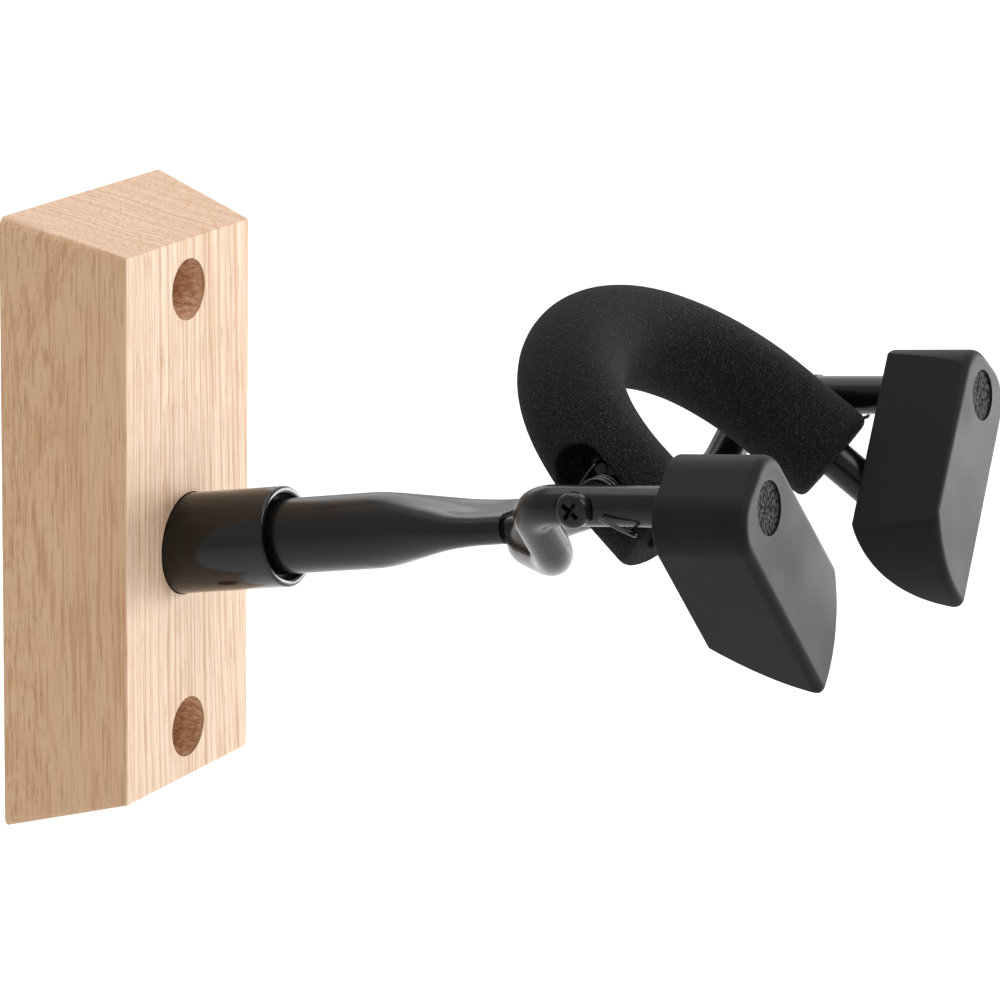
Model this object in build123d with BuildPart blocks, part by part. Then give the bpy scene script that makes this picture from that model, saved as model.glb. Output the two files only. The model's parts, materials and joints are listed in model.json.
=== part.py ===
from build123d import *
from math import asin, cos, degrees, pi, radians, sin, tan
import os

# Wall guitar hanger with a self-closing neck yoke.
# Units are millimetres.  X runs to the right when facing the wall, Y runs into the wall, Z is up.
# The origin is the centre of the wood block's wall face, so the wall is the plane Y = 0.

os.makedirs("parts", exist_ok=True)

# ---- driving dimensions ----

BLOCK_BACK_WIDTH = 64.0
BLOCK_BACK_HEIGHT = 132.0
BLOCK_FRONT_WIDTH = 49.8
BLOCK_FRONT_HEIGHT = 118.0
BLOCK_DEPTH = 26.0
BLOCK_BACK_CORNER = 2.0
BLOCK_FRONT_CORNER = 0.8
BLOCK_FRONT_EASE = 0.6
WALL_HOLE_SPACING = 96.0
WALL_HOLE_RADIUS = 2.75
COUNTERBORE_RADIUS = 6.6
COUNTERBORE_DEPTH = 14.0

ARM_TILT = 11.4
ARM_AXIS_HEIGHT = -7.15
ARM_RADIUS = 8.0
ARM_WALL = 1.5
ARM_REAR = -23.0
ARM_LENGTH_OUT = 81.4
ARM_FLAT_THICKNESS = 6.2

COLLAR_RADIUS = 10.7
COLLAR_BORE_RADIUS = 9.1
COLLAR_LENGTH_OUT = 25.0
COLLAR_END_ROUND = 0.7
SWIVEL_HALF_RANGE = 30.0
RUNNING_FIT = 0.05

ROD_RADIUS = 4.0
PRONG_OFFSET = 52.8
PRONG_TILT = 7.12
GATE_FACE_Y = -184.2
GATE_FACE_Z = 34.4
PRONG_BEND_Y = -133.4
YOKE_CENTRE_Y = -111.0
YOKE_CENTRE_Z = 8.6
YOKE_CENTRE_HALF = 13.0
YOKE_LOBE = (35.3, -131.6, 12.7)
YOKE_BENDS = [7.7, 15.8, 30.0]

PIVOT_Y = -145.5
CRADLE_CENTRE_Y = -149.9
CRADLE_CENTRE_Z = 26.9
CRADLE_SLOPE = 36.6
CRADLE_BEND_RADIUS = 36.0
CRADLE_SPLAY = 8.5
CRADLE_LEG = 15.6
FOAM_LEFT_LEG = 13.2
FOAM_RIGHT_LEG = 16.2
FINGER_LENGTH = 16.0
FINGER_CAP_RADIUS = 3.0
FINGER_CAP_ROUND = 2.4
FINGER_CAP_WALL = 1.5
FOAM_RADIUS = 10.7
FOAM_END_ROUND = 2.0

GATE_TOP = -8.5
GATE_INNER_SIDE = -10.0
GATE_OUTER_SIDE = 12.3
GATE_LENGTH = 43.2
GATE_DEPTH = 19.2
GATE_HANG_ANGLE = 38.7
GATE_BORE_RADIUS = 5.25

SCREW_RADIUS = 2.0
SCREW_HEAD_RADIUS = 3.5
SCREW_HEAD_HEIGHT = 2.4
SCREW_HEAD_ROUND = 1.3
SCREW_RECESS_LENGTH = 4.0
SCREW_RECESS_WIDTH = 1.0
SCREW_RECESS_DEPTH = 1.5
SCREW_RECESS_TURN = 35

# ---- directions and planes worked out from the driving dimensions ----

ACROSS = Vector(1, 0, 0)
ARM_DIRECTION = Vector(0, -cos(radians(ARM_TILT)), sin(radians(ARM_TILT)))
ARM_PLANE = Plane((0, -BLOCK_DEPTH, ARM_AXIS_HEIGHT), x_dir=ACROSS, z_dir=ARM_DIRECTION)

ARM_UP = Vector(0, sin(radians(ARM_TILT)), cos(radians(ARM_TILT)))
ARM_AXIS = Axis(ARM_PLANE.origin, ARM_DIRECTION)
COLLAR_REACH = BLOCK_DEPTH + 8.0

PRONG_DIRECTION = Vector(0, -cos(radians(PRONG_TILT)), sin(radians(PRONG_TILT)))
PRONG_UP = Vector(0, sin(radians(PRONG_TILT)), cos(radians(PRONG_TILT)))
GATE_CENTRE = Vector(PRONG_OFFSET, GATE_FACE_Y, GATE_FACE_Z)
PRONG_PLANE = Plane(GATE_CENTRE, x_dir=ACROSS, z_dir=PRONG_DIRECTION)

HANG = radians(GATE_HANG_ANGLE)
GATE_TIP_DIRECTION = ACROSS * -sin(HANG) + PRONG_UP * -cos(HANG)
GATE_PLANE = Plane(GATE_CENTRE, x_dir=GATE_TIP_DIRECTION, z_dir=PRONG_DIRECTION)

SLOPE = radians(CRADLE_SLOPE)
CRADLE_FORWARD = Vector(0, -cos(SLOPE), -sin(SLOPE))
CRADLE_PLANE = Plane(
    (0, CRADLE_CENTRE_Y, CRADLE_CENTRE_Z),
    x_dir=ACROSS,
    z_dir=ACROSS.cross(CRADLE_FORWARD),
)

PLATE_WIDTH = 46.0
PLATE_HEIGHT = 58.0
PLATE_CORNER = 5.0
PLATE_CENTRE_Z = -11.0
PLATE_BACK = 0.5
PLATE_THICKNESS = 2.5
PLATE_RECESS = PLATE_BACK + PLATE_THICKNESS
PLATE_SCREW_RADIUS = 1.75
PLATE_SCREW_HEAD_RADIUS = 3.4
PLATE_SCREW_LENGTH = 16.0
PLATE_SCREW_PLACES = [(side * 17.0, PLATE_CENTRE_Z + end * 23.0) for side in (-1, 1) for end in (-1, 1)]

SPLAY = radians(CRADLE_SPLAY)
LEG_START = (ACROSS * cos(SPLAY) - CRADLE_FORWARD * sin(SPLAY)) * CRADLE_BEND_RADIUS
LEG_DIRECTION = ACROSS * sin(SPLAY) + CRADLE_FORWARD * cos(SPLAY)

PIVOT_Z = GATE_FACE_Z + (GATE_FACE_Y - PIVOT_Y) * tan(radians(PRONG_TILT))
FRONT_BUSH_START = 14.0
FRONT_BUSH_LENGTH = 8.0
REAR_BUSH_START = -19.5
REAR_BUSH_LENGTH = 7.0
RING_PLACE = -21.6
RING_THICKNESS = 1.0
RING_GROOVE_RADIUS = 7.2
PRESS_START = 46.0
PRESS_END = 75.0
STOP_PIN_RADIUS = 2.0
STOP_PIN_PLACE = -7.0
STOP_HALF_ANGLE = SWIVEL_HALF_RANGE + degrees(asin(STOP_PIN_RADIUS / COLLAR_BORE_RADIUS)) + 1.0
STOP_PIN_PLANE = Plane(ARM_PLANE.origin + ARM_DIRECTION * STOP_PIN_PLACE, x_dir=ACROSS, z_dir=ARM_UP)

PRONG_END_DEPTH = 4.7
END_SCREW_LENGTH = 10.0
CLIP_PLACE = -18.8
CLIP_THICKNESS = 0.8
CLIP_GROOVE_RADIUS = 3.5

PRONG_INSIDE = PRONG_OFFSET - ROD_RADIUS
SCREW_SEAT = PRONG_OFFSET + 3.4
WASHER_THICKNESS = 0.8
BOSS_RADIUS = 3.0
BOSS_END = PRONG_INSIDE - WASHER_THICKNESS - 0.2
BOSS_START = 38.0
POCKET_FLOOR = 37.5
BOSS_BORE_START = 40.2
SPRING_WIRE_RADIUS = 0.4
SPRING_COIL_RADIUS = BOSS_RADIUS + SPRING_WIRE_RADIUS + 0.3
COIL_START = 42.8
COIL_END = 47.2
COIL_TURNS = 3 + CRADLE_SLOPE / 360
HOOK_RUN_UP = 5.2
HOOK_RUN_OUT = 1.6
CRADLE_HOOK_BENDS = [1.2, 1.2]
PRONG_HOOK_BENDS = [1.6] * 4
POCKET_RADIUS = 5.8
POCKET_RUN = 5.0
POCKET_ANGLE = CRADLE_SLOPE
POCKET_CENTRE = (
    1.2 + POCKET_RUN / 2 * cos(radians(POCKET_ANGLE)),
    POCKET_RUN / 2 * sin(radians(POCKET_ANGLE)) + 0.2,
)

FINGER_NECK_START = 10.0
FINGER_CORE_RADIUS = 2.0
NOTCH_START = 1.5
NOTCH_LENGTH = 2.6
NOTCH_DEPTH = 0.9
CLIP_RADIUS = 6.0
CLIP_POCKET_DEPTH = 1.5
GATE_TOP_ROUND = 8.2
GATE_INNER_CORNER = (31.5, -11.0)
GATE_INNER_CORNER_ROUND = 3.0
GATE_TIP = (GATE_LENGTH, GATE_OUTER_SIDE)
GATE_TIP_ROUND = 2.4
GATE_END_MIDDLE = (40.6, -0.8)
GATE_DRAFT = 1.6
GATE_FRONT_ROUND = 2.0
GATE_BACK_ROUND = 0.5
GATE_END_ROUND = 0.5
GATE_CURVE_RADIUS = 24.8
GATE_CURVE_CENTRE = (6.75, 6.45, -5.04)
GATE_CURVE_DIRECTION = (0.771, -0.510, 0.380)
SLOT_ALONG = 18.35
SLOT_ACROSS = 2.3
SLOT_LENGTH = 17.9
SLOT_WIDTH = 13.1
SLOT_DEPTH = 11.8
SLOT_CORNER = 3.0
DISC_RECESS = 0.4
DISC_THICKNESS = 1.0
PRONG_AXIS = Axis(GATE_CENTRE, PRONG_DIRECTION)


def pivot_plane(x):
    """A plane square to the tilt pivot at the given distance to the right of centre."""
    return Plane((x, PIVOT_Y, PIVOT_Z), x_dir=(0, 1, 0), z_dir=(1, 0, 0))


def arm_radial_plane(angle):
    """A plane through the arm's axis; its x runs out from the axis at the angle, its y along it."""
    out = ACROSS * cos(radians(angle)) + ARM_UP * sin(radians(angle))
    return Plane(ARM_PLANE.origin, x_dir=out, z_dir=out.cross(ARM_DIRECTION))


def rear_plane(depth):
    """A plane parallel to the wall, the given depth in front of it, seen from behind."""
    return Plane((0, -depth, 0), x_dir=(-1, 0, 0), z_dir=(0, 1, 0))


def leg_plane(distance):
    """A plane square to the cradle's right leg, the given distance past the end of its bend."""
    centre = CRADLE_PLANE.origin + LEG_START + LEG_DIRECTION * distance
    return Plane(centre, x_dir=CRADLE_PLANE.z_dir, z_dir=LEG_DIRECTION)


def save(builder, name):
    """Label one finished piece and write it under its own name."""
    builder.part.label = name
    export_step(builder.part, f"parts/{name}.step")


# ---- wood block ----

with BuildPart() as wood_block:
    with BuildSketch(Plane.XZ):
        RectangleRounded(BLOCK_BACK_WIDTH, BLOCK_BACK_HEIGHT, BLOCK_BACK_CORNER)
    with BuildSketch(Plane.XZ.offset(BLOCK_DEPTH)):
        RectangleRounded(BLOCK_FRONT_WIDTH, BLOCK_FRONT_HEIGHT, BLOCK_FRONT_CORNER)
    loft()
    fillet(wood_block.faces().sort_by(Axis.Y)[0].edges(), BLOCK_FRONT_EASE)
    with Locations(Plane.XZ.offset(BLOCK_DEPTH)):
        with GridLocations(0, WALL_HOLE_SPACING, 1, 2):
            CounterBoreHole(WALL_HOLE_RADIUS, COUNTERBORE_RADIUS, COUNTERBORE_DEPTH)
    with BuildSketch(rear_plane(PLATE_RECESS)):
        with Locations((0, PLATE_CENTRE_Z)):
            RectangleRounded(PLATE_WIDTH + 0.6, PLATE_HEIGHT + 0.6, PLATE_CORNER + 0.3)
    extrude(amount=PLATE_RECESS, mode=Mode.SUBTRACT)
    with Locations(rear_plane(PLATE_RECESS)):
        with Locations(*PLATE_SCREW_PLACES):
            Hole(PLATE_SCREW_RADIUS, depth=PLATE_SCREW_LENGTH)
    with BuildSketch(ARM_PLANE.offset(-COLLAR_REACH)):
        Circle(COLLAR_RADIUS + 0.2)
    extrude(amount=COLLAR_REACH * 1.3, mode=Mode.SUBTRACT)
save(wood_block, "wood_block")

# ---- steel mounting plate let into the back of the block, and its four wood screws ----

with BuildPart() as flange_plate:
    with BuildSketch(rear_plane(PLATE_RECESS)):
        with Locations((0, PLATE_CENTRE_Z)):
            RectangleRounded(PLATE_WIDTH, PLATE_HEIGHT, PLATE_CORNER)
    extrude(amount=PLATE_THICKNESS)
    with Locations(rear_plane(PLATE_BACK)):
        with Locations(*PLATE_SCREW_PLACES):
            CounterSinkHole(PLATE_SCREW_RADIUS, PLATE_SCREW_HEAD_RADIUS, depth=PLATE_THICKNESS)
    with BuildSketch(ARM_PLANE.offset(-COLLAR_REACH)):
        Circle(COLLAR_RADIUS)
    extrude(amount=COLLAR_REACH, mode=Mode.SUBTRACT)
save(flange_plate, "flange_plate")

with BuildPart() as flange_screws:
    with Locations(rear_plane(PLATE_BACK)):
        with Locations(*PLATE_SCREW_PLACES):
            Cylinder(
                PLATE_SCREW_RADIUS,
                PLATE_SCREW_LENGTH,
                align=(Align.CENTER, Align.CENTER, Align.MAX),
            )
            Cone(
                PLATE_SCREW_RADIUS,
                PLATE_SCREW_HEAD_RADIUS,
                (PLATE_SCREW_HEAD_RADIUS - PLATE_SCREW_RADIUS) / tan(radians(41)),
                align=(Align.CENTER, Align.CENTER, Align.MAX),
            )
save(flange_screws, "flange_screws")

# ---- steel collar welded to the plate; the arm turns inside it ----

with BuildPart() as collar_tube:
    with BuildSketch(ARM_PLANE.offset(-COLLAR_REACH)):
        Circle(COLLAR_RADIUS)
        Circle(COLLAR_BORE_RADIUS, mode=Mode.SUBTRACT)
    extrude(amount=COLLAR_REACH + COLLAR_LENGTH_OUT)
    fillet(collar_tube.faces().sort_by(ARM_AXIS)[-1].edges(), COLLAR_END_ROUND)
    with BuildSketch(rear_plane(PLATE_BACK)):
        Rectangle(4 * COLLAR_RADIUS, 4 * BLOCK_DEPTH)
    extrude(amount=BLOCK_DEPTH, mode=Mode.SUBTRACT)
    with BuildSketch(arm_radial_plane(90 - STOP_HALF_ANGLE)):
        with Locations((COLLAR_BORE_RADIUS + 1.0, STOP_PIN_PLACE)):
            Rectangle(3.0, 2 * STOP_PIN_RADIUS + 0.4)
    revolve(axis=ARM_AXIS, revolution_arc=2 * STOP_HALF_ANGLE, mode=Mode.SUBTRACT)
save(collar_tube, "collar_tube")


def arm_bush(start, length):
    """A nylon bush pressed in the collar, with a running fit on the arm."""
    with BuildPart() as bush:
        with BuildSketch(ARM_PLANE.offset(start)):
            Circle(COLLAR_BORE_RADIUS)
            Circle(ARM_RADIUS + RUNNING_FIT, mode=Mode.SUBTRACT)
        extrude(amount=length)
    return bush


save(arm_bush(FRONT_BUSH_START, FRONT_BUSH_LENGTH), "front_bush")
save(arm_bush(REAR_BUSH_START, REAR_BUSH_LENGTH), "rear_bush")

# ---- arm: a round tube pressed flat towards its outer end ----


def pressed_height(along):
    """Height of the tube at a distance along its axis, easing from round to flat."""
    share = min(max((along - PRESS_START) / (PRESS_END - PRESS_START), 0), 1)
    ease = share * share * (3 - 2 * share)
    return 2 * ARM_RADIUS + (ARM_FLAT_THICKNESS - 2 * ARM_RADIUS) * ease


def pressed_section(along, wall):
    """The tube's outline at a distance along its axis: two round ends drawn apart by a crowned flat."""
    end_radius = pressed_height(along) / 2 - wall
    spread = pi / 2 * (ARM_RADIUS - pressed_height(along) / 2)
    outline = []
    for step in range(OUTLINE_STEPS):
        angle = 2 * pi * step / OUTLINE_STEPS
        shift = spread * max(-1, min(1, 2 * cos(angle)))
        outline.append((shift + end_radius * cos(angle), end_radius * sin(angle)))
    with BuildSketch(ARM_PLANE.offset(along)) as section:
        with BuildLine():
            Spline(*outline, periodic=True)
        make_face()
    return section.sketch


OUTLINE_STEPS = 24
PRESS_STEPS = 4
PRESS_STATIONS = [
    PRESS_START + (PRESS_END - PRESS_START) * step / PRESS_STEPS for step in range(PRESS_STEPS + 1)
]
ARM_OUTER_SECTIONS = [pressed_section(station, 0) for station in PRESS_STATIONS]
ARM_BORE_SECTIONS = [pressed_section(station, ARM_WALL) for station in PRESS_STATIONS]

with BuildPart() as arm_bore:
    loft(ARM_BORE_SECTIONS)
    extrude(ARM_BORE_SECTIONS[-1], amount=ARM_LENGTH_OUT - PRESS_END)
    extrude(ARM_BORE_SECTIONS[0], amount=ARM_REAR - PRESS_START)

with BuildPart() as arm_tube:
    loft(ARM_OUTER_SECTIONS)
    extrude(ARM_OUTER_SECTIONS[-1], amount=ARM_LENGTH_OUT - PRESS_END)
    extrude(ARM_OUTER_SECTIONS[0], amount=ARM_REAR - PRESS_START)
    add(arm_bore.part, mode=Mode.SUBTRACT)
    with BuildSketch(ARM_PLANE.offset(RING_PLACE)):
        Circle(ARM_RADIUS + 1)
        Circle(RING_GROOVE_RADIUS, mode=Mode.SUBTRACT)
    extrude(amount=RING_THICKNESS, mode=Mode.SUBTRACT)
    with BuildSketch(STOP_PIN_PLANE):
        Circle(STOP_PIN_RADIUS)
    extrude(amount=ARM_RADIUS + 1, mode=Mode.SUBTRACT)
save(arm_tube, "arm_tube")

# ---- what holds the arm in the collar ----

with BuildPart() as thrust_washer:
    with BuildSketch(ARM_PLANE.offset(REAR_BUSH_START - WASHER_THICKNESS - 0.1)):
        Circle(COLLAR_BORE_RADIUS - 0.1)
        Circle(ARM_RADIUS + RUNNING_FIT, mode=Mode.SUBTRACT)
    extrude(amount=WASHER_THICKNESS)
save(thrust_washer, "thrust_washer")

with BuildPart() as retaining_ring:
    with BuildSketch(ARM_PLANE.offset(RING_PLACE)):
        Circle(COLLAR_BORE_RADIUS - 0.2)
        Circle(RING_GROOVE_RADIUS, mode=Mode.SUBTRACT)
        with Locations((0, -ARM_RADIUS)):
            Rectangle(5, 5, mode=Mode.SUBTRACT)
    extrude(amount=RING_THICKNESS)
save(retaining_ring, "retaining_ring")

with BuildPart() as swivel_stop_pin:
    with BuildSketch(STOP_PIN_PLANE.offset(ARM_RADIUS - 2.6)):
        Circle(STOP_PIN_RADIUS)
    extrude(amount=COLLAR_RADIUS - 0.4 - (ARM_RADIUS - 2.6))
save(swivel_stop_pin, "swivel_stop_pin")

# ---- yoke: one bent rod whose ends are the two prongs ----


def add_rounded_route(points, radii):
    """Straight runs between points, joined at each inner point by a tangent arc."""
    start = points[0]
    for before, corner, after, radius in zip(points, points[1:], points[2:], radii):
        back = (before - corner).normalized()
        ahead = (after - corner).normalized()
        half_turn = (pi - radians(back.get_angle(ahead))) / 2
        arc_start = corner + back * (radius * tan(half_turn))
        arc_end = corner + ahead * (radius * tan(half_turn))
        inward = (back + ahead).normalized()
        arc_middle = corner + inward * (radius / cos(half_turn) - radius)
        Line(start, arc_start)
        ThreePointArc(arc_start, arc_middle, arc_end)
        start = arc_end
    Line(start, points[-1])


YOKE_RIGHT = [
    GATE_CENTRE - PRONG_DIRECTION * PRONG_END_DEPTH,
    GATE_CENTRE - PRONG_DIRECTION * ((PRONG_BEND_Y - GATE_FACE_Y) / cos(radians(PRONG_TILT))),
    Vector(*YOKE_LOBE),
    Vector(YOKE_CENTRE_HALF, YOKE_CENTRE_Y, YOKE_CENTRE_Z),
]
YOKE_LEFT = [Vector(-point.X, point.Y, point.Z) for point in reversed(YOKE_RIGHT)]

with BuildPart() as yoke_rod:
    with BuildLine():
        add_rounded_route(YOKE_RIGHT + YOKE_LEFT, YOKE_BENDS + YOKE_BENDS[::-1])
    with BuildSketch(Plane(YOKE_RIGHT[0], z_dir=-PRONG_DIRECTION)):
        Circle(ROD_RADIUS)
    sweep()
    for side in (-1, 1):
        with BuildSketch(pivot_plane(side * (PRONG_INSIDE - 1))):
            Circle(SCREW_RADIUS)
        extrude(amount=side * 4 * ROD_RADIUS, mode=Mode.SUBTRACT)
        with BuildSketch(pivot_plane(side * SCREW_SEAT)):
            Circle(SCREW_HEAD_RADIUS + 0.6)
        extrude(amount=side * ROD_RADIUS, mode=Mode.SUBTRACT)
        prong_centre = (side * PRONG_OFFSET, GATE_FACE_Y, GATE_FACE_Z)
        prong_plane = Plane(prong_centre, x_dir=ACROSS, z_dir=PRONG_DIRECTION)
        with BuildSketch(prong_plane.offset(-PRONG_END_DEPTH)):
            Circle(SCREW_RADIUS)
        extrude(amount=-END_SCREW_LENGTH - 1, mode=Mode.SUBTRACT)
        with BuildSketch(prong_plane.offset(CLIP_PLACE)):
            Circle(ROD_RADIUS + 1)
            Circle(CLIP_GROOVE_RADIUS, mode=Mode.SUBTRACT)
        extrude(amount=CLIP_THICKNESS, mode=Mode.SUBTRACT)
save(yoke_rod, "yoke_rod")

with BuildPart() as weld_saddle:
    with BuildSketch(ARM_PLANE.offset(ARM_LENGTH_OUT)):
        RectangleRounded(19.0, 4.6, 2.2)
    extrude(amount=5.0)
    add(yoke_rod.part, mode=Mode.SUBTRACT)
save(weld_saddle, "weld_saddle")

# ---- cross screws: the cradle tilts on their plain ends ----


def pan_head_screw(seat, length):
    """A pan-head screw with a cross recess; its head sits on the seat plane, its shank goes behind."""
    with BuildPart(seat) as screw:
        Cylinder(
            SCREW_HEAD_RADIUS,
            SCREW_HEAD_HEIGHT,
            align=(Align.CENTER, Align.CENTER, Align.MIN),
        )
        rim = screw.edges().filter_by(GeomType.CIRCLE).sort_by(Axis(seat.origin, seat.z_dir))[-1]
        fillet(rim, SCREW_HEAD_ROUND)
        Cylinder(SCREW_RADIUS, length, align=(Align.CENTER, Align.CENTER, Align.MAX))
        with BuildSketch(seat.offset(SCREW_HEAD_HEIGHT)):
            Rectangle(SCREW_RECESS_LENGTH, SCREW_RECESS_WIDTH, rotation=SCREW_RECESS_TURN)
            Rectangle(SCREW_RECESS_WIDTH, SCREW_RECESS_LENGTH, rotation=SCREW_RECESS_TURN)
        extrude(amount=-SCREW_RECESS_DEPTH, taper=12, mode=Mode.SUBTRACT)
    return screw.part


right_pivot_screw = pan_head_screw(pivot_plane(SCREW_SEAT), SCREW_SEAT - BOSS_BORE_START - 0.3)

with BuildPart() as pivot_screws:
    add(right_pivot_screw)
    mirror(about=Plane.YZ)
save(pivot_screws, "pivot_screws")

with BuildPart() as pivot_washers:
    with BuildSketch(pivot_plane(PRONG_INSIDE)):
        Circle(BOSS_RADIUS + 0.6)
        Circle(SCREW_RADIUS, mode=Mode.SUBTRACT)
    extrude(amount=-WASHER_THICKNESS)
    mirror(about=Plane.YZ)
save(pivot_washers, "pivot_washers")

# ---- cradle: a U of rod, its two pivot bosses, its foam sleeve and its finger caps ----


def cradle_path(left_leg, right_leg):
    """The U's centre line, with each leg carried on past its bend."""
    with BuildLine(CRADLE_PLANE) as path:
        sweep_angle = 180 - 2 * CRADLE_SPLAY
        bend = CenterArc((0, 0), CRADLE_BEND_RADIUS, 180 + CRADLE_SPLAY, sweep_angle)
        for end in (bend @ 0, bend @ 1):
            side, leg = (1, right_leg) if end.X > 0 else (-1, left_leg)
            Line(end, end + (ACROSS * side * sin(SPLAY) + CRADLE_FORWARD * cos(SPLAY)) * leg)
    return path.wire()


def cradle_tube(left_leg, right_leg, outer, inner=0.0):
    """A round tube or rod that follows the U."""
    with BuildPart() as tube:
        with BuildLine():
            add(cradle_path(left_leg, right_leg))
        with BuildSketch(leg_plane(right_leg)):
            Circle(outer)
            if inner:
                Circle(inner, mode=Mode.SUBTRACT)
        sweep()
    return tube.part


NECK_DISTANCE = CRADLE_LEG + FINGER_NECK_START
bare_cradle_rod = cradle_tube(NECK_DISTANCE, NECK_DISTANCE, ROD_RADIUS)
bare_foam_sleeve = cradle_tube(FOAM_LEFT_LEG, FOAM_RIGHT_LEG, FOAM_RADIUS, ROD_RADIUS)

with BuildPart() as cradle_rod:
    add(bare_cradle_rod)
    with BuildSketch(leg_plane(NECK_DISTANCE)):
        Circle(FINGER_CORE_RADIUS)
    extrude(amount=FINGER_LENGTH - FINGER_NECK_START - FINGER_CAP_WALL)
    with BuildSketch(leg_plane(CRADLE_LEG + NOTCH_START)):
        with Locations((-ROD_RADIUS, 0)):
            Rectangle(2 * NOTCH_DEPTH, 2 * ROD_RADIUS)
    extrude(amount=NOTCH_LENGTH, mode=Mode.SUBTRACT)
    mirror(about=Plane.YZ)
save(cradle_rod, "cradle_rod")

with BuildPart() as finger_caps:
    with BuildSketch(leg_plane(NECK_DISTANCE)):
        Circle(FINGER_CAP_RADIUS)
    extrude(amount=FINGER_LENGTH - FINGER_NECK_START)
    fillet(finger_caps.faces().sort_by(Axis((0, 0, 0), LEG_DIRECTION))[-1].edges(), FINGER_CAP_ROUND)
    with BuildSketch(leg_plane(NECK_DISTANCE)):
        Circle(FINGER_CORE_RADIUS)
    extrude(amount=FINGER_LENGTH - FINGER_NECK_START - FINGER_CAP_WALL, mode=Mode.SUBTRACT)
    mirror(about=Plane.YZ)
save(finger_caps, "finger_caps")

with BuildPart() as pivot_bosses:
    with BuildSketch(pivot_plane(BOSS_START)):
        Circle(BOSS_RADIUS)
    extrude(amount=BOSS_END - BOSS_START)
    with BuildSketch(pivot_plane(BOSS_BORE_START)):
        Circle(SCREW_RADIUS + RUNNING_FIT)
    extrude(amount=BOSS_END - BOSS_BORE_START, mode=Mode.SUBTRACT)
    mirror(about=Plane.YZ)
    add(cradle_rod.part, mode=Mode.SUBTRACT)
save(pivot_bosses, "pivot_bosses")

with BuildPart() as foam_sleeve:
    add(bare_foam_sleeve)
    foam_ends = foam_sleeve.faces().filter_by(GeomType.PLANE)
    fillet([face.outer_wire().edge() for face in foam_ends], FOAM_END_ROUND)
    for side in (-1, 1):
        with BuildSketch(pivot_plane(side * POCKET_FLOOR)):
            with Locations(POCKET_CENTRE):
                SlotOverall(2 * POCKET_RADIUS + POCKET_RUN, 2 * POCKET_RADIUS, rotation=POCKET_ANGLE)
        extrude(amount=side * 2 * FOAM_RADIUS, mode=Mode.SUBTRACT)
save(foam_sleeve, "foam_sleeve")

# ---- torsion springs: one leg hooks under the prong, the other over the cradle rod ----


def beside_pivot(x, up_slope, above):
    """A point given by its distances up the cradle's slope from the pivot and above its plane."""
    slope_up = CRADLE_FORWARD * -up_slope
    return Vector(x, PIVOT_Y, PIVOT_Z) + slope_up - CRADLE_PLANE.z_dir * above


def under_prong(x, ahead, below):
    """A point given by its distances in front of the pivot and below it."""
    return Vector(x, PIVOT_Y - ahead, PIVOT_Z - below)


spring_coil = Helix(
    (COIL_END - COIL_START) / COIL_TURNS,
    COIL_END - COIL_START,
    SPRING_COIL_RADIUS,
    center=(COIL_START, PIVOT_Y, PIVOT_Z),
    direction=(1, 0, 0),
    lefthand=True,
).rotate(Axis((0, PIVOT_Y, PIVOT_Z), (1, 0, 0)), 180 + CRADLE_SLOPE)
CRADLE_HOOK = [
    beside_pivot(POCKET_FLOOR + 0.9, 5.6, 2.6),
    beside_pivot(COIL_START - 0.8, 5.6, 2.8),
    spring_coil @ 0 - (spring_coil % 0) * HOOK_RUN_UP,
    spring_coil @ 0,
]
PRONG_HOOK = [
    spring_coil @ 1,
    spring_coil @ 1 + (spring_coil % 1) * HOOK_RUN_OUT,
    under_prong(COIL_END + 1.4, 3.6, SPRING_COIL_RADIUS + 0.3),
    under_prong(COIL_END + 3.0, 9.6, SPRING_COIL_RADIUS + 0.6),
    under_prong(COIL_END + 9.6, 13.2, SPRING_COIL_RADIUS - 0.3),
    under_prong(COIL_END + 10.4, 5.8, SPRING_COIL_RADIUS - 3.0),
]

with BuildPart() as right_torsion_spring:
    with BuildLine() as spring_wire:
        add_rounded_route(CRADLE_HOOK, CRADLE_HOOK_BENDS)
        add(spring_coil)
        add_rounded_route(PRONG_HOOK, PRONG_HOOK_BENDS)
    with BuildSketch(Plane(CRADLE_HOOK[0], z_dir=CRADLE_HOOK[1] - CRADLE_HOOK[0])):
        Circle(SPRING_WIRE_RADIUS)
    sweep(path=spring_wire.wire())
save(right_torsion_spring, "right_torsion_spring")

with BuildPart() as left_torsion_spring:
    mirror(right_torsion_spring.part, about=Plane.YZ)
save(left_torsion_spring, "left_torsion_spring")

# ---- gates: soft-touch mouldings that turn on the prongs ----

GATE_CURVE_PLANE = Plane(
    GATE_PLANE.from_local_coords(GATE_CURVE_CENTRE),
    z_dir=GATE_PLANE.from_local_coords(GATE_CURVE_DIRECTION) - GATE_PLANE.origin,
)
INNER_RUN = (GATE_INNER_CORNER[0], GATE_INNER_CORNER[1] - GATE_INNER_SIDE)
GATE_DRAFT_PLANE = Plane(
    GATE_PLANE.from_local_coords((0, GATE_INNER_SIDE, 0)),
    x_dir=GATE_PLANE.x_dir * INNER_RUN[0] + GATE_PLANE.y_dir * INNER_RUN[1],
    z_dir=GATE_PLANE.y_dir * GATE_DEPTH + GATE_PLANE.z_dir * GATE_DRAFT,
)


def is_gate_curve(face):
    """True for the face that undercuts the gate's tip."""
    return face.geom_type == GeomType.CYLINDER and abs(face.radius - GATE_CURVE_RADIUS) < 0.01


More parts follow.
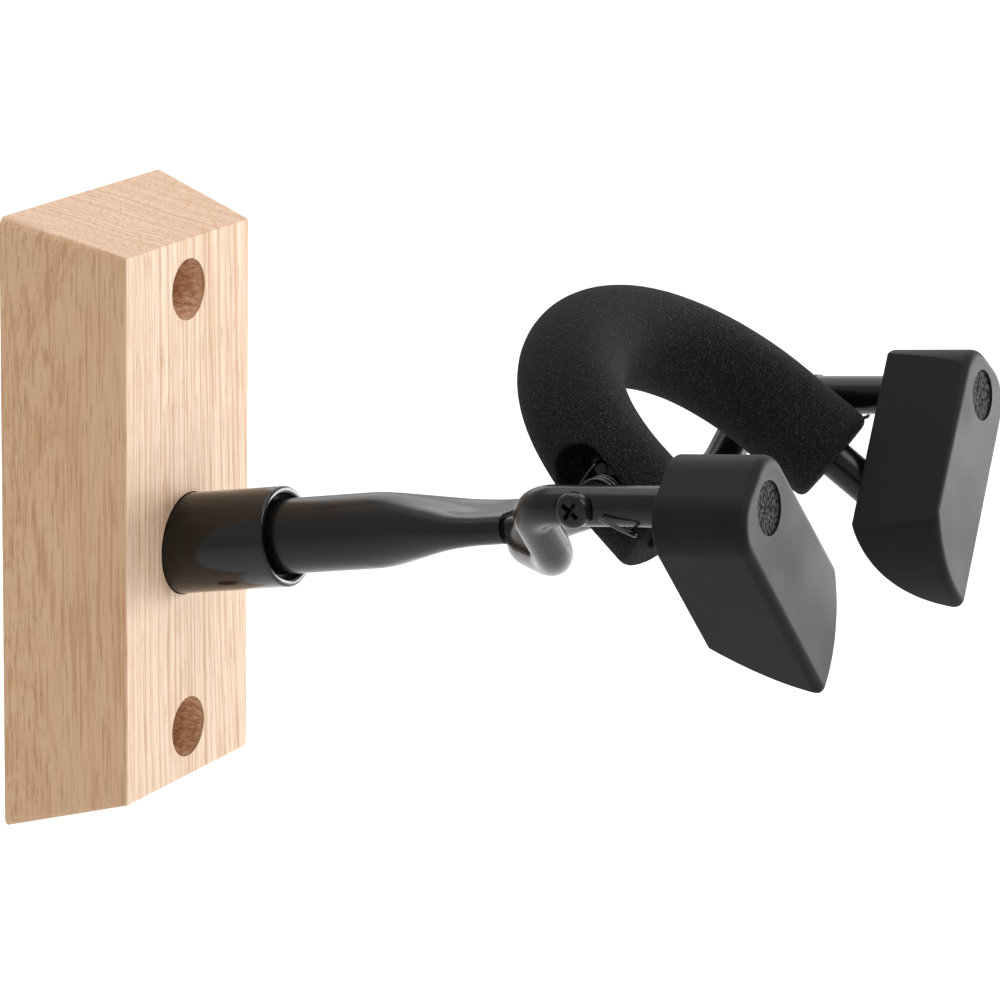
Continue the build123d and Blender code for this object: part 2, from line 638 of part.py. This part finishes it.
with BuildPart() as right_gate:
    with BuildSketch(GATE_PLANE.offset(-GATE_DEPTH)) as gate_outline:
        with BuildLine():
            Polyline(GATE_INNER_CORNER, (GATE_TOP, GATE_INNER_SIDE), (GATE_TOP, GATE_OUTER_SIDE), GATE_TIP)
            ThreePointArc(GATE_INNER_CORNER, GATE_END_MIDDLE, GATE_TIP)
        make_face()
        fillet(gate_outline.vertices().sort_by(Axis.X)[:2], GATE_TOP_ROUND)
        fillet(gate_outline.vertices().sort_by(Axis.X)[-1], GATE_TIP_ROUND)
        fillet(gate_outline.vertices().sort_by(Axis.Y)[0], GATE_INNER_CORNER_ROUND)
    extrude(amount=GATE_DEPTH)
    fillet(right_gate.faces().sort_by(PRONG_AXIS)[-1].edges(), GATE_FRONT_ROUND)
    with Locations(GATE_CURVE_PLANE):
        Cylinder(GATE_CURVE_RADIUS, 4 * GATE_LENGTH, mode=Mode.INTERSECT)
    split(bisect_by=GATE_DRAFT_PLANE, keep=Keep.TOP)
    fillet(right_gate.faces().sort_by(PRONG_AXIS)[0].edges(), GATE_BACK_ROUND)
    fillet(right_gate.faces().filter_by(is_gate_curve).edges(), GATE_END_ROUND)
    with BuildSketch(GATE_PLANE):
        Circle(GATE_BORE_RADIUS)
    extrude(amount=-GATE_DEPTH, mode=Mode.SUBTRACT)
    with BuildSketch(GATE_PLANE.offset(-GATE_DEPTH)):
        Circle(CLIP_RADIUS + 0.3)
    extrude(amount=CLIP_POCKET_DEPTH, mode=Mode.SUBTRACT)
    with BuildSketch(GATE_PLANE.offset(-GATE_DEPTH)):
        with Locations((SLOT_ALONG, SLOT_ACROSS)):
            RectangleRounded(SLOT_LENGTH, SLOT_WIDTH, SLOT_CORNER)
    extrude(amount=SLOT_DEPTH, mode=Mode.SUBTRACT)
save(right_gate, "right_gate")

with BuildPart() as left_gate:
    mirror(right_gate.part, about=Plane.YZ)
save(left_gate, "left_gate")

with BuildPart() as right_gate_bush:
    with BuildSketch(GATE_PLANE.offset(-GATE_DEPTH + CLIP_POCKET_DEPTH)):
        Circle(GATE_BORE_RADIUS)
        Circle(ROD_RADIUS + RUNNING_FIT, mode=Mode.SUBTRACT)
    extrude(amount=GATE_DEPTH - CLIP_POCKET_DEPTH - PRONG_END_DEPTH - 0.05)
save(right_gate_bush, "right_gate_bush")

with BuildPart() as left_gate_bush:
    mirror(right_gate_bush.part, about=Plane.YZ)
save(left_gate_bush, "left_gate_bush")

with BuildPart() as right_end_disc:
    with BuildSketch(GATE_PLANE.offset(-DISC_RECESS)):
        Circle(GATE_BORE_RADIUS)
    extrude(amount=-DISC_THICKNESS)
save(right_end_disc, "right_end_disc")

with BuildPart() as left_end_disc:
    mirror(right_end_disc.part, about=Plane.YZ)
save(left_end_disc, "left_end_disc")

# ---- what holds each gate on its prong ----

with BuildPart() as prong_clips:
    with BuildSketch(PRONG_PLANE.offset(CLIP_PLACE)):
        Circle(CLIP_RADIUS)
        Circle(CLIP_GROOVE_RADIUS, mode=Mode.SUBTRACT)
        with Locations((0, CLIP_RADIUS)):
            Rectangle(5.0, 2 * CLIP_RADIUS, mode=Mode.SUBTRACT)
    extrude(amount=CLIP_THICKNESS)
    mirror(about=Plane.YZ)
save(prong_clips, "prong_clips")

with BuildPart() as gate_end_washers:
    with BuildSketch(PRONG_PLANE.offset(-PRONG_END_DEPTH)):
        Circle(GATE_BORE_RADIUS - 0.45)
        Circle(SCREW_RADIUS, mode=Mode.SUBTRACT)
    extrude(amount=WASHER_THICKNESS)
    mirror(about=Plane.YZ)
save(gate_end_washers, "gate_end_washers")

END_SCREW_SEAT = PRONG_PLANE.offset(WASHER_THICKNESS - PRONG_END_DEPTH)
right_end_screw = pan_head_screw(END_SCREW_SEAT, END_SCREW_LENGTH)

with BuildPart() as gate_end_screws:
    add(right_end_screw)
    mirror(about=Plane.YZ)
save(gate_end_screws, "gate_end_screws")
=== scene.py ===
import bpy
import json
from mathutils import Matrix, Vector, noise


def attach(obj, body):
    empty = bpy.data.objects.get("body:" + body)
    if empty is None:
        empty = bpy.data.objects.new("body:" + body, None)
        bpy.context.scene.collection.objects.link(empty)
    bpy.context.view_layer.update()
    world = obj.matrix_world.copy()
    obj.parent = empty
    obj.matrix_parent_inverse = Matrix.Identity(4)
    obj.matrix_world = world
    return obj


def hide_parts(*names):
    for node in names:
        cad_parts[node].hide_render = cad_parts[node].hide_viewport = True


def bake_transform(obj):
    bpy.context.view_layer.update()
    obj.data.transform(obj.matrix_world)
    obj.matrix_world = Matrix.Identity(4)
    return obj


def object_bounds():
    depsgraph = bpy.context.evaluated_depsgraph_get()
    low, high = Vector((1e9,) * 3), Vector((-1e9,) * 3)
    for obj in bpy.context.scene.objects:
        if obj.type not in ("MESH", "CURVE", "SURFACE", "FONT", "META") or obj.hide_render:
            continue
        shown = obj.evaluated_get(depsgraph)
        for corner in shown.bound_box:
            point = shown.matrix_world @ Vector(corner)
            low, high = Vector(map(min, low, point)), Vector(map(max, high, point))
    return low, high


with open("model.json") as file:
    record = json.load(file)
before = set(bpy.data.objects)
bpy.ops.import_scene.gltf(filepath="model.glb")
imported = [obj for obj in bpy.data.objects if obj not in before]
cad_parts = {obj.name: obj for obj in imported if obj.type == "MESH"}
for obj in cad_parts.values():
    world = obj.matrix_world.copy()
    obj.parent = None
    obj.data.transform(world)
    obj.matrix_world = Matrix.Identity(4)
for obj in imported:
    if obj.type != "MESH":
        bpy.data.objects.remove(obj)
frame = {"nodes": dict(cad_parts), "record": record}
cad_box = [list(corner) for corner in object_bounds()]
nodes = frame["nodes"]
centre = (Vector(cad_box[0]) + Vector(cad_box[1])) / 2

# ---- driving sizes and places, in metres ----

WALL_HOLE_HEIGHT = 0.048        # from the block's centre to each wall hole
WALL_HOLE_REACH = 0.0067        # just past the wall of the counterbore
WALL_HOLE_MOUTH = -0.0253       # just inside the block's front face

FOAM_VOXEL = 0.0006
FOAM_WAVES = ((38.0, 0.00022), (150.0, 0.00010))    # waves per metre, depth
FOAM_SOFTENING = 3

CAMERA_LENS_MM = 171.70
CAMERA_PLACE = (-0.8390, -0.5338, 0.2614)
CAMERA_RIGHT = Vector((0.462976, -0.886197, 0.017581))
CAMERA_DOWN = Vector((-0.218043, -0.133092, -0.966821))
CAMERA_FORWARD = Vector((0.859134, 0.443781, -0.254848))

FLOOR_HEIGHT = -0.34
FLOOR_REACH = 8.0
WORLD_STRENGTH = 0.62

# name, place, what it points at, width, height, watts
PANELS = (
    ("front_softbox", centre + Vector((1.10, -0.63, 0.02)), centre, 0.9, 0.55, 14.0),
    ("high_front", centre + Vector((-0.10, -0.95, 1.05)), centre, 0.7, 0.7, 6.5),
    ("top", centre + Vector((0.1, 0.3, 1.3)), centre, 1.2, 1.2, 8.0),
    ("backdrop", Vector((1.9, 0.9, 0.9)), Vector((1.9, 0.9, -1.0)), 2.6, 2.6, 26.0),
)


# ---- node-tree helpers ----

class Tree:
    """Builds one material, with short calls for its nodes and links."""

    def __init__(self, name):
        self.material = bpy.data.materials.new(name)
        self.material.use_nodes = True
        self.nodes = self.material.node_tree.nodes
        self.links = self.material.node_tree.links
        self.shader = next(n for n in self.nodes if n.type == "BSDF_PRINCIPLED")
        self.point = self.add("ShaderNodeTexCoord").outputs["Object"]

    def add(self, kind, **settings):
        node = self.nodes.new(kind)
        for key, value in settings.items():
            setattr(node, key, value)
        return node

    def put(self, socket, value):
        """Set a socket to a number or colour, or link it to another socket."""
        if isinstance(value, bpy.types.NodeSocket):
            self.links.new(value, socket)
        else:
            socket.default_value = value

    def maths(self, operation, a, b=0.0):
        node = self.add("ShaderNodeMath", operation=operation)
        for socket, value in zip(node.inputs, (a, b)):
            self.put(socket, value)
        return node.outputs[0]

    def plus(self, a, b):
        return self.maths("ADD", a, b)

    def minus(self, a, b):
        return self.maths("SUBTRACT", a, b)

    def times(self, a, b):
        return self.maths("MULTIPLY", a, b)

    def size_of(self, a):
        return self.maths("ABSOLUTE", a)

    def scaled(self, factors, point=None):
        node = self.add("ShaderNodeVectorMath", operation="MULTIPLY")
        self.put(node.inputs[0], point or self.point)
        node.inputs[1].default_value = factors
        return node.outputs[0]

    def moved(self, point, offset):
        node = self.add("ShaderNodeVectorMath", operation="ADD")
        self.put(node.inputs[0], point)
        self.put(node.inputs[1], offset)
        return node.outputs[0]

    def noise(self, point, scale, detail=4.0, roughness=0.55):
        node = self.add("ShaderNodeTexNoise")
        self.put(node.inputs["Vector"], point)
        node.inputs["Scale"].default_value = scale
        node.inputs["Detail"].default_value = detail
        node.inputs["Roughness"].default_value = roughness
        return node.outputs[0]

    def cells(self, point, scale):
        node = self.add("ShaderNodeTexVoronoi")
        self.put(node.inputs["Vector"], point)
        node.inputs["Scale"].default_value = scale
        return node.outputs["Distance"]

    def span(self, value, low, high, to_low=0.0, to_high=1.0, smooth=False):
        """Carry the range low to high over to to_low to to_high."""
        shape = "SMOOTHSTEP" if smooth else "LINEAR"
        node = self.add("ShaderNodeMapRange", interpolation_type=shape)
        self.put(node.inputs["Value"], value)
        self.put(node.inputs["From Min"], low)
        self.put(node.inputs["From Max"], high)
        self.put(node.inputs["To Min"], to_low)
        self.put(node.inputs["To Max"], to_high)
        return node.outputs["Result"]

    def ramp(self, value, stops):
        node = self.add("ShaderNodeValToRGB")
        self.put(node.inputs[0], value)
        marks = node.color_ramp.elements
        while len(marks) < len(stops):
            marks.new(0.5)
        for mark, (place, colour) in zip(marks, stops):
            mark.position = place
            mark.color = (*colour, 1.0)
        return node.outputs[0]

    def mix(self, share, first, second):
        """Blend from the first colour to the second."""
        node = self.add("ShaderNodeMix", data_type="RGBA")
        self.put(node.inputs["Factor"], share)
        for name, value in (("A", first), ("B", second)):
            socket = next(s for s in node.inputs if s.name == name and s.type == "RGBA")
            self.put(socket, (*value, 1.0) if isinstance(value, tuple) else value)
        return next(s for s in node.outputs if s.type == "RGBA")

    def bump(self, height, strength, distance):
        node = self.add("ShaderNodeBump")
        self.put(node.inputs["Height"], height)
        node.inputs["Strength"].default_value = strength
        node.inputs["Distance"].default_value = distance
        return node.outputs[0]

    def split(self, point):
        node = self.add("ShaderNodeSeparateXYZ")
        self.put(node.inputs[0], point)
        return node.outputs

    def join(self, x, y, z):
        node = self.add("ShaderNodeCombineXYZ")
        for socket, value in zip(node.inputs, (x, y, z)):
            self.put(socket, value)
        return node.outputs[0]

    def edges(self, radius):
        """0 on flat surfaces, rising towards 1 on sharp edges, from the rounded normal."""
        bevel = self.add("ShaderNodeBevel", samples=6)
        bevel.inputs["Radius"].default_value = radius
        plain = self.add("ShaderNodeNewGeometry")
        dot = self.add("ShaderNodeVectorMath", operation="DOT_PRODUCT")
        self.links.new(bevel.outputs[0], dot.inputs[0])
        self.links.new(plain.outputs["Normal"], dot.inputs[1])
        return self.span(dot.outputs["Value"], 0.995, 0.85)

    def finish(self, **inputs):
        names = {
            "colour": "Base Color", "roughness": "Roughness", "normal": "Normal",
            "metal": "Metallic", "coat": "Coat Weight", "coat_roughness": "Coat Roughness",
            "specular": "Specular IOR Level", "sheen": "Sheen Weight",
            "sheen_roughness": "Sheen Roughness",
        }
        for key, value in inputs.items():
            self.put(self.shader.inputs[names[key]], value)
        return self.material


# ---- materials ----

def wood():
    """Straight-grained pale oak: growth rings cut by the block, long pores, dark open end grain."""
    t = Tree("oak")
    x, y, z = t.split(t.point)
    sideways, _, upward = t.split(t.add("ShaderNodeNewGeometry").outputs["Normal"])

    # growth rings: layers across the block that lean and wander a little on the way up
    drift = t.noise(t.scaled((1.0, 1.0, 0.16)), 22.0, detail=2.0)
    wander = t.times(t.minus(drift, 0.5), 0.018)
    lean = t.times(z, t.span(y, -0.024, -0.002, 0.02, 0.10))
    across = t.plus(x, t.times(y, 0.22))
    radius = t.plus(t.plus(across, lean), wander)
    layers = t.join(t.times(radius, 980.0), 0.0, t.times(z, 3.0))
    ring = t.noise(layers, 1.0, detail=3.0, roughness=0.65)
    late_wood, mid_wood, early_wood = (0.520, 0.340, 0.215), (0.700, 0.520, 0.375), (0.760, 0.595, 0.450)
    colour = t.ramp(ring, [(0.36, late_wood), (0.50, mid_wood), (0.66, early_wood)])

    # broad warmer patches, then painted shade darkening the sideways faces, and the darker end grain
    patch = t.noise(t.scaled((1.0, 1.0, 0.3)), 34.0, detail=2.0)
    colour = t.mix(t.span(patch, 0.35, 0.65, 0.0, 0.30), colour, (0.600, 0.415, 0.270))
    # painted shade: faces turned sideways are darkened towards a deeper brown
    painted_side_shade = t.span(t.size_of(sideways), 0.30, 0.75, smooth=True)
    colour = t.mix(t.times(painted_side_shade, 0.62), colour, (0.600, 0.345, 0.175))
    on_end = t.span(t.size_of(upward), 0.30, 0.75, smooth=True)
    colour = t.mix(t.times(on_end, 0.50), colour, (0.460, 0.280, 0.180))

    # pores and streaks, drawn out along the grain
    along_grain = t.moved(t.point, t.join(t.plus(wander, lean), 0.0, 0.0))
    fibre = t.noise(t.scaled((1.0, 1.0, 0.040), along_grain), 2500.0, detail=3.0, roughness=0.7)
    streak = t.noise(t.scaled((1.0, 1.0, 0.022), along_grain), 1250.0, detail=3.0)
    pores = t.span(fibre, 0.55, 0.67, 0.0, 0.62)
    colour = t.mix(pores, colour, (0.380, 0.185, 0.085))
    colour = t.mix(t.span(streak, 0.51, 0.64, 0.0, 0.62), colour, (0.460, 0.240, 0.115))

    # torn raw fibres inside the two wall holes
    from_hole = t.size_of(t.minus(t.size_of(z), WALL_HOLE_HEIGHT))
    squared = t.plus(t.times(from_hole, from_hole), t.times(x, x))
    in_hole = t.maths("LESS_THAN", squared, WALL_HOLE_REACH ** 2)
    drilled = t.times(in_hole, t.maths("GREATER_THAN", y, WALL_HOLE_MOUTH))
    torn = t.noise(t.scaled((0.5, 0.35, 1.0)), 1500.0, detail=4.0, roughness=0.75)
    raw = t.mix(t.span(torn, 0.40, 0.62), (0.480, 0.250, 0.130), (0.900, 0.620, 0.420))
    colour = t.mix(t.times(drilled, 0.85), colour, raw)

    height = t.minus(t.times(ring, 0.35), pores)
    height = t.plus(height, t.times(drilled, t.times(torn, 3.0)))
    return t.finish(
        colour=colour,
        roughness=t.plus(t.span(fibre, 0.3, 0.7, 0.48, 0.64), t.times(drilled, 0.25)),
        normal=t.bump(height, 0.35, 0.00025),
        specular=0.28,
    )


def enamel(name, colour, roughness, coat, orange_peel):
    """Black paint over steel with a faint waviness, dust-fine specks and slightly worn edges."""
    t = Tree(name)
    wave = t.noise(t.point, 420.0, detail=2.0)
    speck = t.noise(t.point, 2600.0, detail=2.0)
    smear = t.noise(t.point, 60.0, detail=3.0)
    worn = t.times(t.edges(0.0006), t.span(smear, 0.45, 0.7))
    tone = t.mix(t.span(smear, 0.3, 0.7, 0.0, 0.5), colour, tuple(c * 1.5 for c in colour))
    tone = t.mix(t.times(worn, 0.35), tone, (0.10, 0.10, 0.105))
    unevenness = t.plus(smear, t.times(speck, 0.3))
    return t.finish(
        colour=tone,
        roughness=t.span(unevenness, 0.4, 0.9, roughness * 0.85, roughness * 1.25),
        normal=t.bump(t.plus(wave, t.times(speck, 0.25)), orange_peel, 0.00006),
        coat=coat,
        coat_roughness=0.06,
        specular=0.24,
    )


def foam():
    """Dense closed-cell foam: a fine grain of matt skin with small brighter cells."""
    t = Tree("foam")
    cell = t.cells(t.point, 2100.0)
    pits = t.noise(t.point, 1700.0, detail=3.0, roughness=0.7)
    speck = t.span(t.noise(t.point, 3300.0, detail=1.0), 0.60, 0.74)
    dimple = t.noise(t.point, 120.0, detail=3.0)
    tone = t.mix(t.span(pits, 0.38, 0.66), (0.0015, 0.0015, 0.0017), (0.0120, 0.0120, 0.0125))
    tone = t.mix(t.times(speck, 0.6), tone, (0.085, 0.085, 0.086))
    height = t.plus(t.times(cell, 0.8), t.times(pits, 0.9))
    height = t.plus(height, t.times(dimple, 0.3))
    return t.finish(
        colour=tone,
        roughness=t.span(pits, 0.3, 0.7, 0.80, 0.96),
        normal=t.bump(height, 0.80, 0.00030),
        specular=0.13,
        sheen=0.008,
        sheen_roughness=0.5,
    )


def soft_touch():
    """Smooth grey-black elastomer with a faint shader sheen, faint handling marks and a painted
    highlight along its edges.
    """
    t = Tree("soft_touch")
    fine = t.noise(t.point, 3200.0, detail=2.0)
    smear = t.noise(t.point, 55.0, detail=3.0)
    tone = t.mix(t.span(smear, 0.3, 0.7), (0.0085, 0.0085, 0.0090), (0.0115, 0.0115, 0.0120))
    # painted highlight: every edge is lightened towards a paler grey
    tone = t.mix(t.times(t.edges(0.0016), 0.25), tone, (0.022, 0.022, 0.023))
    return t.finish(
        colour=tone,
        roughness=t.span(t.plus(smear, t.times(fine, 0.4)), 0.4, 1.0, 0.46, 0.60),
        normal=t.bump(fine, 0.25, 0.00004),
        specular=0.12,
        sheen=0.004,
        sheen_roughness=0.4,
    )


def pebbled_disc():
    """Moulded disc with a fine pebbled face."""
    t = Tree("pebbled_disc")
    pebble = t.cells(t.point, 1300.0)
    tone = t.mix(t.span(pebble, 0.2, 0.7), (0.038, 0.038, 0.039), (0.0030, 0.0030, 0.0032))
    return t.finish(
        colour=tone,
        roughness=t.span(pebble, 0.1, 0.8, 0.50, 0.75),
        normal=t.bump(pebble, 0.9, 0.0003),
        specular=0.05,
    )


def steel(name, colour, roughness, brushed):
    """Bare or plated steel with fine drawing lines, blotches and brighter edges."""
    t = Tree(name)
    lines = t.noise(t.scaled(brushed), 1800.0, detail=2.0)
    blotch = t.noise(t.point, 140.0, detail=3.0)
    tone = t.mix(t.span(blotch, 0.3, 0.7), colour, tuple(c * 0.78 for c in colour))
    rubbed = tuple(min(1.0, c * 1.3) for c in colour)
    tone = t.mix(t.times(t.edges(0.0004), 0.4), tone, rubbed)
    return t.finish(
        colour=tone,
        metal=1.0,
        roughness=t.span(lines, 0.3, 0.7, roughness * 0.75, roughness * 1.3),
        normal=t.bump(lines, 0.2, 0.00003),
    )


def nylon():
    """Moulded black nylon with a soft dull skin."""
    t = Tree("nylon")
    skin_grain = t.noise(t.point, 1500.0, detail=3.0)
    blotch = t.noise(t.point, 90.0, detail=2.0)
    tone = t.mix(t.span(blotch, 0.3, 0.7), (0.018, 0.018, 0.019), (0.028, 0.028, 0.030))
    return t.finish(
        colour=tone,
        roughness=t.span(skin_grain, 0.3, 0.7, 0.42, 0.60),
        normal=t.bump(skin_grain, 0.3, 0.00005),
        specular=0.45,
    )


def floor_paint():
    """Even, nearly white studio floor."""
    t = Tree("floor")
    return t.finish(
        colour=t.mix(t.noise(t.point, 3.0), (0.90, 0.90, 0.90), (0.92, 0.92, 0.92)),
        roughness=t.span(t.noise(t.point, 6.0), 0.3, 0.7, 0.8, 0.9),
    )


finishes = {
    "wood": wood(),
    "gloss_black": enamel("gloss_black", (0.0025, 0.0025, 0.0027), 0.10, 0.30, 0.05),
    "satin_black": enamel("satin_black", (0.0050, 0.0050, 0.0053), 0.24, 0.10, 0.10),
    "black_screw": enamel("black_screw", (0.0080, 0.0080, 0.0084), 0.22, 0.10, 0.15),
    "foam": foam(),
    "soft_touch": soft_touch(),
    "end_disc": pebbled_disc(),
    "zinc_plate": steel("zinc_plate", (0.60, 0.61, 0.63), 0.38, (1.0, 1.0, 0.06)),
    "bright_steel": steel("bright_steel", (0.085, 0.085, 0.088), 0.27, (0.1, 1.0, 1.0)),
    "nylon": nylon(),
}

for part in frame["record"]["subparts"]:
    piece = nodes[part["node"]]
    piece.data.materials.clear()
    piece.data.materials.append(finishes[part["material_slot"]])


# ---- pieces that stand for CAD nodes ----

def copy_of(node, name):
    """A free copy of a CAD node's mesh, in the row frame, with the finish of that node's slot."""
    source = nodes[node]
    mesh = source.data.copy()
    mesh.transform(source.matrix_world)
    piece = bpy.data.objects.new(name, mesh)
    bpy.context.scene.collection.objects.link(piece)
    return piece


def apply_modifiers(piece):
    """Bake a piece's modifiers into its mesh."""
    graph = bpy.context.evaluated_depsgraph_get()
    final = bpy.data.meshes.new_from_object(piece.evaluated_get(graph))
    piece.modifiers.clear()
    piece.data = final


def foam_skin():
    """The foam sleeve with softened edges and a slightly uneven surface, sunk inwards only."""
    skin = copy_of("foam_sleeve", "foam_sleeve_skin")
    remesh = skin.modifiers.new("even_skin", "REMESH")
    remesh.mode = "VOXEL"
    remesh.voxel_size = FOAM_VOXEL
    remesh.use_smooth_shade = True
    soften = skin.modifiers.new("soft_edges", "SMOOTH")
    soften.factor = 0.5
    soften.iterations = FOAM_SOFTENING
    apply_modifiers(skin)
    skin.data.materials.clear()
    skin.data.materials.append(finishes["foam"])
    places = [vertex.co.copy() for vertex in skin.data.vertices]
    outward = [normal.vector.copy() for normal in skin.data.vertex_normals]
    settled = []
    for place, normal in zip(places, outward):
        sink = sum(depth * (0.5 + 0.5 * noise.noise(place * scale)) for scale, depth in FOAM_WAVES)
        settled.extend(place - normal * sink)
    skin.data.vertices.foreach_set("co", settled)
    skin.data.update()
    return skin


skin = foam_skin()
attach(skin, "cradle")
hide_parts("foam_sleeve")

# Each torsion spring sits between the prong, which holds its outer end, and the cradle; here its copy is
# baked in place, attached to neither.
for node in ("right_torsion_spring", "left_torsion_spring"):
    spring = copy_of(node, node + "_wire")
    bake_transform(spring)
    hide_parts(node)


# ---- camera, light and floor ----

camera_data = bpy.data.cameras.new("camera")
camera_data.sensor_width = 36.0
camera_data.lens = CAMERA_LENS_MM
camera_data.clip_start = 0.05
camera_data.clip_end = 50.0
camera = bpy.data.objects.new("camera", camera_data)
bpy.context.scene.collection.objects.link(camera)
aim = Matrix((CAMERA_RIGHT, -CAMERA_DOWN, -CAMERA_FORWARD)).transposed().to_4x4()
camera.matrix_world = Matrix.Translation(CAMERA_PLACE) @ aim
bpy.context.scene.camera = camera

for name, place, target, width, height, power in PANELS:
    data = bpy.data.lights.new(name, "AREA")
    data.shape = "RECTANGLE"
    data.size = width
    data.size_y = height
    data.energy = power
    light = bpy.data.objects.new(name, data)
    light.location = place
    light.rotation_mode = "QUATERNION"
    light.rotation_quaternion = (target - place).to_track_quat("-Z", "Y")
    light.visible_camera = False
    bpy.context.scene.collection.objects.link(light)

corners = [
    (-FLOOR_REACH, -FLOOR_REACH, FLOOR_HEIGHT),
    (FLOOR_REACH, -FLOOR_REACH, FLOOR_HEIGHT),
    (FLOOR_REACH, FLOOR_REACH, FLOOR_HEIGHT),
    (-FLOOR_REACH, FLOOR_REACH, FLOOR_HEIGHT),
]
mesh = bpy.data.meshes.new("floor")
mesh.from_pydata(corners, [], [(0, 1, 2, 3)])
mesh.materials.append(floor_paint())
floor = bpy.data.objects.new("floor", mesh)
bpy.context.scene.collection.objects.link(floor)

world = bpy.data.worlds.new("studio")
world.use_nodes = True
background = world.node_tree.nodes["Background"]
background.inputs["Color"].default_value = (1.0, 1.0, 1.0, 1.0)
background.inputs["Strength"].default_value = WORLD_STRENGTH
bpy.context.scene.world = world
bpy.context.scene.view_settings.view_transform = "Standard"
